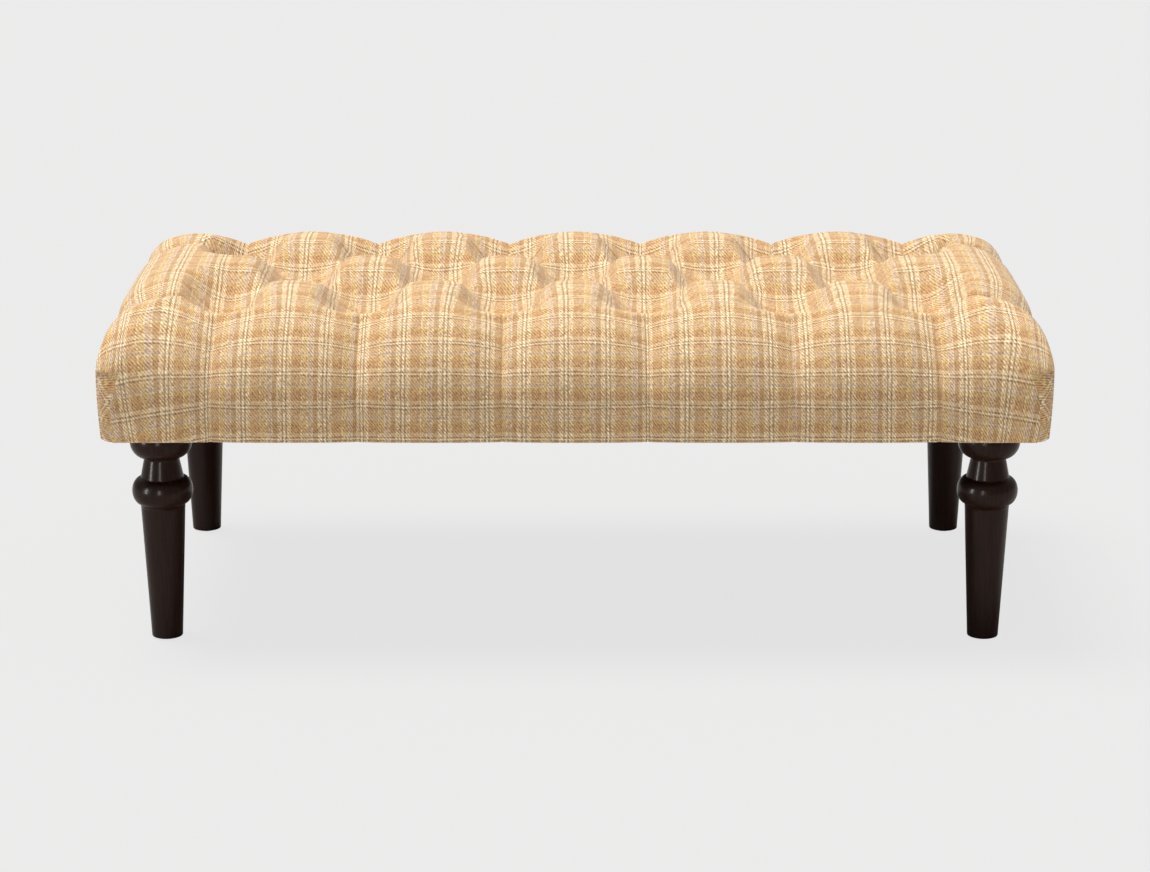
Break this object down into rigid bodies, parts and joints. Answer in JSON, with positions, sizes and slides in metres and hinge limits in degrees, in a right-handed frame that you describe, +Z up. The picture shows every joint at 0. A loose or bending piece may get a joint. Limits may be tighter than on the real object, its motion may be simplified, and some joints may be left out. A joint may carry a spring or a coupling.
{
  "type": "button tufted footstool",
  "caption": "Long padded footstool with a diamond tufted plaid seat, pleated sides and dark turned legs with a ring and a round head.",
  "frame": {"origin": "on the floor under the middle of the seat", "axes": "+X along the seat to the right, +Y to the back, +Z up; the front faces -Y"},
  "size_m": [1.219, 0.629, 0.454],
  "materials": {
    "plaid_cloth": "soft woven plaid in tan, ochre, cream and mauve",
    "batting": "white polyester fibre",
    "foam": "open-cell seat foam",
    "plated_steel": "zinc plated",
    "screw_steel": "yellow zinc plated",
    "twine": "waxed cord",
    "plywood": "birch plywood",
    "frame_wood": "planed poplar",
    "dowel_wood": "beech",
    "leg_wood": "dark espresso stain under satin lacquer",
    "glide_nylon": "moulded nylon",
    "dust_cloth": "black spun-bonded cloth"
  },
  "bodies": {
    "root": {"tufted_cover": "plaid_cloth", "fibre_batting": "batting", "foam_pad": "foam", "covered_buttons": "plaid_cloth", "button_backs": "plated_steel", "button_twines": "twine", "twine_washers": "plated_steel", "deck_panel": "plywood", "deck_screws": "screw_steel", "front_rail": "frame_wood", "back_rail": "frame_wood", "left_rail": "frame_wood", "right_rail": "frame_wood", "left_stretcher": "frame_wood", "right_stretcher": "frame_wood", "rail_dowels": "dowel_wood", "stretcher_dowels": "dowel_wood", "corner_block_screws": "screw_steel", "leg_plate_screws": "screw_steel", "hanger_bolts": "plated_steel", "dust_cover": "dust_cloth", "front_left_corner_block": "frame_wood", "front_left_leg_plate": "plated_steel", "front_left_leg": "leg_wood", "front_left_glide": "glide_nylon", "front_right_corner_block": "frame_wood", "front_right_leg_plate": "plated_steel", "front_right_leg": "leg_wood", "front_right_glide": "glide_nylon", "back_left_corner_block": "frame_wood", "back_left_leg_plate": "plated_steel", "back_left_leg": "leg_wood", "back_left_glide": "glide_nylon", "back_right_corner_block": "frame_wood", "back_right_leg_plate": "plated_steel", "back_right_leg": "leg_wood", "back_right_glide": "glide_nylon"}
  },
  "joints": []
}
